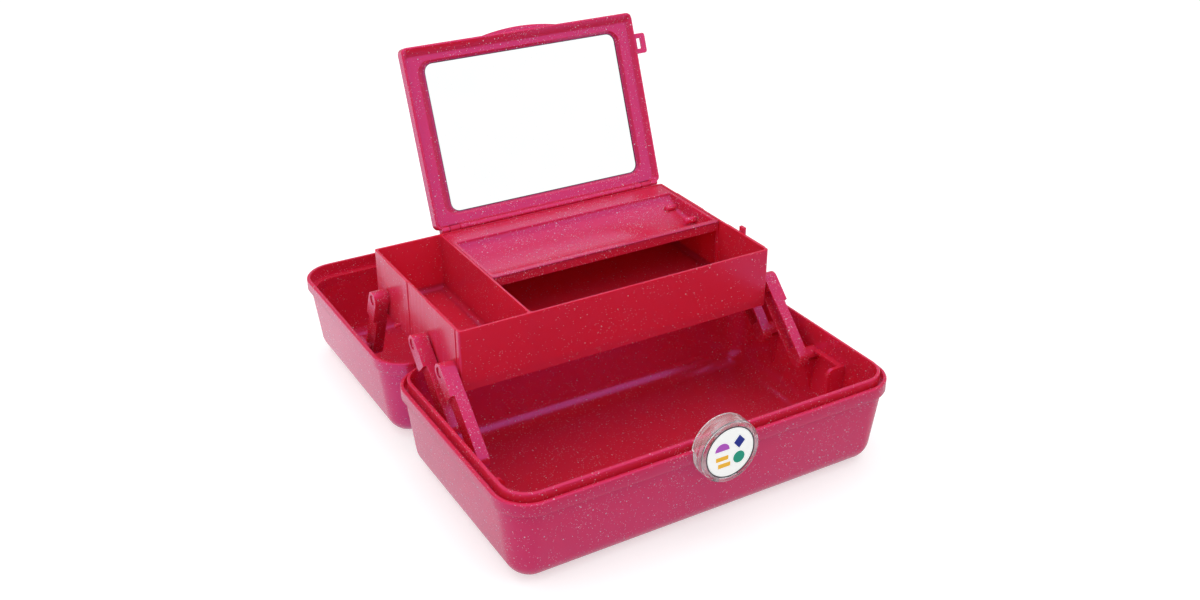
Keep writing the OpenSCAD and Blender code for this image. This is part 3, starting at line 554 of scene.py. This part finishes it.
rail = rounded_bar((frame_x0 + 5, frame_x1 - 5), (-4.5, 2), (-frame_t, -4.5), 0.8, 0.8)
knuckle_len, barrel_r = 7.0, 2.3
knuckle_end = knuckle_gap + knuckle_len
knuckles = [rounded_bar(tuple(sorted((x + s * knuckle_gap, x + s * knuckle_end))),
                        (-knuckle_r, knuckle_r), (axis_z - knuckle_r, axis_z + knuckle_r),
                        knuckle_r, 0.5) for x in hinge_places for s in (-1, 1)]
barrel = rounded_bar((hinge_places[0] + knuckle_end, hinge_places[1] - knuckle_end),
                     (-barrel_r, barrel_r), (axis_z - barrel_r, axis_z + barrel_r),
                     barrel_r, 0.3, 5)
bow_half, bow_rise = 36.0, 3.6
bow_x = np.linspace(-bow_half, bow_half, 41)
bow_r = (bow_half ** 2 + bow_rise ** 2) / (2 * bow_rise)
bow = np.sqrt(bow_r ** 2 - bow_x ** 2) - bow_r + bow_rise


def lip_outline(inset):
    """The bowed finger lip's outline: an arc over a chord of 72 mm that rises 3.6 mm."""
    top = np.c_[(frame_x0 + frame_x1) / 2 + bow_x * (1 - inset / bow_half),
                frame_l + np.maximum(bow - inset, -0.6)]
    base = np.c_[top[::-1, 0], np.full(len(top), frame_l - 1.0)]
    return np.vstack([top[::-1], base[::-1]])


finger_lip = loft([np.c_[(o := lip_outline(e)), np.full(len(o), z)] for e, z in (
    (0.7, -7.0), (0.2, -6.8), (0, -6.3), (0, -3.2), (0.2, -2.7), (0.7, -2.5))])
# rows of (left, right, bottom, top, corner radius, height): the tab's outside, its slot
tab_x, tab_y = frame_x1 - 1, frame_l - 28.5
tab = loft([np.c_[(o := rounded_outline(tab_x + a, tab_x + b, tab_y + c, tab_y + d, r)),
                  np.full(len(o), z)] for a, b, c, d, r, z in (
    (0.4, 11.2, -8.6, 8.6, 2.1, -4), (0, 11.6, -9, 9, 2.5, -3.6),
    (0, 11.6, -9, 9, 2.5, -1.4), (0.4, 11.2, -8.6, 8.6, 2.1, -1),
    (2.1, 7.0, -4.8, 4.8, 0.6, -1), (2.25, 6.8, -4.65, 4.65, 0.4, -1.2),
    (2.25, 6.8, -4.65, 4.65, 0.4, -3.8), (2.1, 7.0, -4.8, 4.8, 0.6, -4))], "joined")
frame_fittings = finish_mesh("frame_fittings", *leaned(gathered(
    rail, *knuckles, barrel, finger_lip, tab)), frame_plastic)
place_piece(frame_fittings, "mirror", "frame_plastic")

# ---- Mirror glass and its back panel ------------------------------------------------
# Float glass, 2 mm thick and silvered behind, so it reflects like polished metal with a
# trace of haze. A thin dark ring laid over the glass round the window is painted shade
# for the shadowed gap at the window's edge. A flat moulded panel closes the frame's back.
silvered = bpy.data.materials.new("silvered_float_glass")
silvered.use_nodes = True
tree = silvered.node_tree
tree.nodes.clear()
place = add_node(tree, "ShaderNodeTexCoord").outputs["Object"]
haze = add_node(tree, "ShaderNodeTexNoise", {"Vector": place, "Scale": 30.0, "Detail": 4.0})
tint = add_node(tree, "ShaderNodeMix", {"Factor": haze.outputs[0], "A": linear("#FFFFFF"),
                "B": linear("#FBFDFD")}, data_type="RGBA")
shiny = add_node(tree, "ShaderNodeBsdfPrincipled", {"Base Color": tint.outputs[2],
                 "Metallic": 1.0, "Roughness": 0.012})
add_node(tree, "ShaderNodeOutputMaterial", {"Surface": shiny.outputs[0]})

# painted shade for the gap round the window: dull and dark, with streaks of about 2.5 mm
window_edge_shade = bpy.data.materials.new("painted_shade_round_mirror")
window_edge_shade.use_nodes = True
tree = window_edge_shade.node_tree
tree.nodes.clear()
place = add_node(tree, "ShaderNodeTexCoord").outputs["Object"]
shade_mottle = add_node(tree, "ShaderNodeTexNoise", {"Vector": place, "Scale": 400.0, "Detail": 2.0})
tone = add_node(tree, "ShaderNodeMix", {"Factor": shade_mottle.outputs[0], "A": linear("#3A2432"),
                "B": linear("#5A4454")}, data_type="RGBA")
edge_shade_bsdf = add_node(tree, "ShaderNodeBsdfPrincipled", {"Base Color": tone.outputs[2],
                 "Roughness": 0.45})
add_node(tree, "ShaderNodeOutputMaterial", {"Surface": edge_shade_bsdf.outputs[0]})

# rows of (growth past the window, corner radius, height over the frame's inner face)
glass = finish_mesh("mirror_pane", *leaned(loft([
    window_ring((grow,) * 4, r, glass_z + z) for grow, r, z in (
        (3.6, 1.6, -2.15), (4, 2, -1.8), (4, 2, -0.5), (3.6, 1.6, -0.15))])), silvered)
place_piece(glass, "mirror", "mirror_glass", "mirror_glass")
# a dark ring 1.3 mm wide just in front of the glass at the window's edge: painted shade
painted_edge_shade = finish_mesh("mirror_edge_painted_shade", *leaned(loft([
    window_ring((grow,) * 4, r, glass_z + z) for grow, r, z in (
        (0.6, 8.6, -0.14), (0.6, 8.6, -0.08), (-0.7, 7.3, -0.08), (-0.7, 7.3, -0.14))],
    "joined")), window_edge_shade)
place_piece(painted_edge_shade, "mirror", "mirror_glass")
place_piece(softened("mirror_back", frame_plastic, 0.5), "mirror", "back_plastic",
            "mirror_back")

# ---- Latch --------------------------------------------------------------------------
# A clear polystyrene cup that swings on a pin under it and hooks over the lid's nub. Its
# skirt carries fine turned lines, and its rim is thick. A white printed disc sits in it
# behind a thin dark ring.
latch_z, latch_front, latch_back = 73.0, -115.5, -101.9
latch_r, seat_r, disc_r = 24.9, 20.9, 20.0
pin_y, pin_z, ear_x, ear_r = -107.0, 53.5, (6.9, 9.9), 2.6
around = np.radians(np.arange(0, 360, 2.5))
latch_x, latch_up = np.cos(around), np.sin(around)


def turned(profile, back=None):
    """Turns a profile about the latch's axis: rows of (radius, depth behind the front,
    share). Where back gives a Y for each direction, a point goes that share of the way
    from its own depth to it."""
    rings = []
    for radius, depth, share in profile:
        y = np.full(len(around), latch_front + depth)
        if back is not None:
            y = y + share * (back - y)
        rings.append(np.c_[radius * latch_x, y, latch_z + radius * latch_up])
    return np.array(rings)


# up to the rim the skirt ends at the base's band, and it is cut away in front of the block
band_top, band_front, block_half = 75.4, -104.2, 8.6
skirt_back = np.where(latch_z + latch_r * latch_up < band_top, band_front, latch_back)
over_block = (np.abs(latch_r * latch_x) < block_half) & (latch_up < 0)
skirt_back = np.where(over_block, latch_front + 2.9, skirt_back)
ribbed = [(latch_r - 0.02 - 0.16 * (k % 2), 2.2, share)
          for k, share in enumerate(np.linspace(0.12, 0.9, 19))]
cup_profile = ([(seat_r, 1.2, 0), (seat_r, 0.3, 0), (seat_r + 0.3, 0, 0), (latch_r - 1.6, 0, 0),
                (latch_r - 0.5, 0.4, 0), (latch_r - 0.1, 1.3, 0), (latch_r, 2.2, 0)] + ribbed
               + [(latch_r, 2.2, 0.97), (latch_r - 0.3, 2.2, 1), (latch_r - 1.9, 2.2, 1),
                  (latch_r - 2.2, 2.2, 0.95), (latch_r - 2.4, 3.1, 0), (latch_r - 3, 3, 0)])
cup = loft(turned(cup_profile, skirt_back))
ears = [rounded_bar(tuple(sorted(s * x for x in ear_x)), (latch_front + 3, pin_y + ear_r),
                    (pin_z - ear_r, pin_z + ear_r), 2.2, 0.3) for s in (-1, 1)]
hook = rounded_bar((-8, 8), (latch_front + 2.8, latch_back - 0.2), (83.7, 85.3), 0.5, 0.5)

# moulded clear, it is bright and glassy: flow ripples of about 11 mm bend what is behind
# it, milky turned lines 0.7 mm apart cross them, and lamplight passes through
clear = bpy.data.materials.new("moulded_clear_polystyrene")
clear.use_nodes = True
tree = clear.node_tree
tree.nodes.clear()
place = add_node(tree, "ShaderNodeTexCoord").outputs["Object"]
flow = add_node(tree, "ShaderNodeTexNoise", {"Vector": place, "Scale": 90.0, "Detail": 2.0,
                "Distortion": 1.5})
ripple = add_node(tree, "ShaderNodeBump", {"Height": flow.outputs[0], "Strength": 0.35,
                  "Distance": 0.0006})
through = add_node(tree, "ShaderNodeMix", {"Factor": flow.outputs[0], "A": linear("#F4EEF2"),
                   "B": linear("#FFFFFF")}, data_type="RGBA")
resin = add_node(tree, "ShaderNodeBsdfPrincipled", {
    "Base Color": through.outputs[2], "Roughness": 0.06, "IOR": 1.4,
    "Transmission Weight": 1.0, "Normal": ripple.outputs[0]})
milky = add_node(tree, "ShaderNodeBsdfPrincipled", {
    "Base Color": linear("#F2EEF1"), "Roughness": 0.25, "Specular IOR Level": 0.6})
turning = add_node(tree, "ShaderNodeMapping", {"Vector": place, "Scale": (60.0, 1500.0, 60.0)})
lines = add_node(tree, "ShaderNodeTexNoise", {"Vector": turning.outputs[0], "Scale": 1.0,
                 "Detail": 2.0})
cloud = add_node(tree, "ShaderNodeMapRange", {0: lines.outputs[0], 1: 0.42, 2: 0.68,
                 3: 0.0, 4: 0.4})
mixed = add_node(tree, "ShaderNodeMixShader", {0: cloud.outputs[0], 1: resin.outputs[0],
                 2: milky.outputs[0]})
open_air = add_node(tree, "ShaderNodeBsdfTransparent", {"Color": linear("#E8E4E8")})
shadow = add_node(tree, "ShaderNodeLightPath").outputs["Is Shadow Ray"]
passed = add_node(tree, "ShaderNodeMixShader", {0: shadow, 1: mixed.outputs[0],
                  2: open_air.outputs[0]})
add_node(tree, "ShaderNodeOutputMaterial", {"Surface": passed.outputs[0]})
latch_cup = finish_mesh("latch_cup", *gathered(cup, *ears, hook), clear)
place_piece(latch_cup, "latch", "clear_plastic", "latch_body")


def printed(name, colour, roughness=0.3, painted_glow=0.0):
    """Screen-printed ink or a dyed smooth plastic: an even colour with a faint mottle of
    about 0.5 mm and a slight tooth in the gloss. The last argument makes it emit that share
    of its own colour: painted light, which brightens it beyond what the lamps give."""
    material = bpy.data.materials.new(name)
    material.use_nodes = True
    tree = material.node_tree
    tree.nodes.clear()
    place = add_node(tree, "ShaderNodeTexCoord").outputs["Object"]
    mottle = add_node(tree, "ShaderNodeTexNoise", {"Vector": place, "Scale": 2000.0,
                      "Detail": 2.0})
    dark = tuple(0.88 * c for c in linear(colour)[:3]) + (1.0,)
    tone = add_node(tree, "ShaderNodeMix", {"Factor": mottle.outputs[0], "A": linear(colour),
                    "B": dark}, data_type="RGBA")
    gloss = add_node(tree, "ShaderNodeMapRange", {0: mottle.outputs[0], 3: roughness,
                     4: roughness + 0.15})
    ink = add_node(tree, "ShaderNodeBsdfPrincipled", {"Base Color": tone.outputs[2],
                   "Roughness": gloss.outputs[0], "Emission Color": tone.outputs[2],
                   "Emission Strength": painted_glow})
    add_node(tree, "ShaderNodeOutputMaterial", {"Surface": ink.outputs[0]})
    return material


# the white disc emits a quarter of its colour: painted light that whitens it
disc = finish_mesh("latch_face", *loft(turned([
    (0.1, 1.2, 0), (disc_r, 1.2, 0), (disc_r, 0.6, 0), (disc_r - 0.15, 0.42, 0),
    (disc_r - 0.6, 0.32, 0), (disc_r - 1.4, 0.3, 0)])),
    printed("white_polystyrene_disc", "#FFFFFD", painted_glow=0.25))
place_piece(disc, "latch", "disc_plastic", "latch_disc")
seal = finish_mesh("latch_seal", *loft(turned([
    (disc_r, 1.2, 0), (disc_r, 0.3, 0), (disc_r + 0.25, 0.12, 0), (disc_r + 0.65, 0.12, 0),
    (seat_r, 0.3, 0), (seat_r, 1.2, 0)]), "joined"),
    printed("dark_rubber_ring", "#4A4650", 0.5))
place_piece(seal, "latch", "ring_rubber", "latch_ring")


def stamped(name, outline, colour):
    """A flat shape printed on the disc: an outline in the disc's plane, from its middle,
    carried from just inside the disc's face to 0.05 mm in front of it."""
    x, up = np.asarray(outline, float).T
    rings = [np.c_[x, np.full(len(x), latch_front + depth), latch_z + up]
             for depth in (0.32, 0.25)]
    # the prints emit a quarter of their colour, like the disc: painted light
    shape = finish_mesh(name, *loft(rings), printed("screen_print_" + name, colour, 0.35, 0.25))
    place_piece(shape, "latch", "disc_plastic")


half_turn = np.radians(np.linspace(0, 180, 25))
plum_x, plum_up, plum_r = -7.2, 3.2, 6.2
green_x, green_up, green_r = 7.6, -6.2, 4.9
stamped("plum_half_disc", np.c_[plum_x + plum_r * np.cos(half_turn),
                                plum_up + plum_r * np.sin(half_turn)], "#B050BE")
stamped("navy_diamond", [(7.4, 12.6), (2.6, 7.0), (7.4, 1.4), (12.2, 7.0)], "#16268C")
stamped("amber_bar", [(-12.4, -1.6), (-12.4, -5.2), (-1.8, -5.2), (-1.8, -1.6)], "#F2B62E")
stamped("amber_bar_low", [(-10.4, -7.6), (-10.4, -11.2), (0.2, -11.2), (0.2, -7.6)], "#F2B62E")
stamped("green_disc", np.c_[green_x + green_r * latch_x, green_up + green_r * latch_up],
        "#12967C")

# ---- Hinge, latch and handle pins ---------------------------------------------------
# Straight lengths of drawn steel wire, pressed into the mouldings. Drawing leaves fine
# lines along the wire, about 0.2 mm apart, which show as soft grey streaks.
wire = bpy.data.materials.new("drawn_steel_wire")
wire.use_nodes = True
tree = wire.node_tree
tree.nodes.clear()
place = add_node(tree, "ShaderNodeTexCoord").outputs["Object"]
drawn = add_node(tree, "ShaderNodeMapping", {"Vector": place, "Scale": (30.0, 6000.0, 6000.0)})
streaks = add_node(tree, "ShaderNodeTexNoise", {"Vector": drawn.outputs[0], "Scale": 1.0,
                   "Detail": 2.0})
grey = add_node(tree, "ShaderNodeMix", {"Factor": streaks.outputs[0], "A": linear("#B9BABD"),
                "B": linear("#9C9DA1")}, data_type="RGBA")
rough = add_node(tree, "ShaderNodeMapRange", {0: streaks.outputs[0], 3: 0.22, 4: 0.38})
steel = add_node(tree, "ShaderNodeBsdfPrincipled", {"Base Color": grey.outputs[2],
                 "Metallic": 1.0, "Roughness": rough.outputs[0]})
add_node(tree, "ShaderNodeOutputMaterial", {"Surface": steel.outputs[0]})
for name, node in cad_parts.items():
    if "pin" in name:
        node.data.materials.clear()
        node.data.materials.append(wire)

# ---- Handle -------------------------------------------------------------------------
# A folding grip sunk in the lid's top, moulded in the same plastic with well-rounded
# edges, on two short pins.
handle_plastic = glitter_plastic("moulded_glitter_polypropylene_handle")
place_piece(softened("handle", handle_plastic, 1.6, 4), "handle", "handle_plastic", "handle")
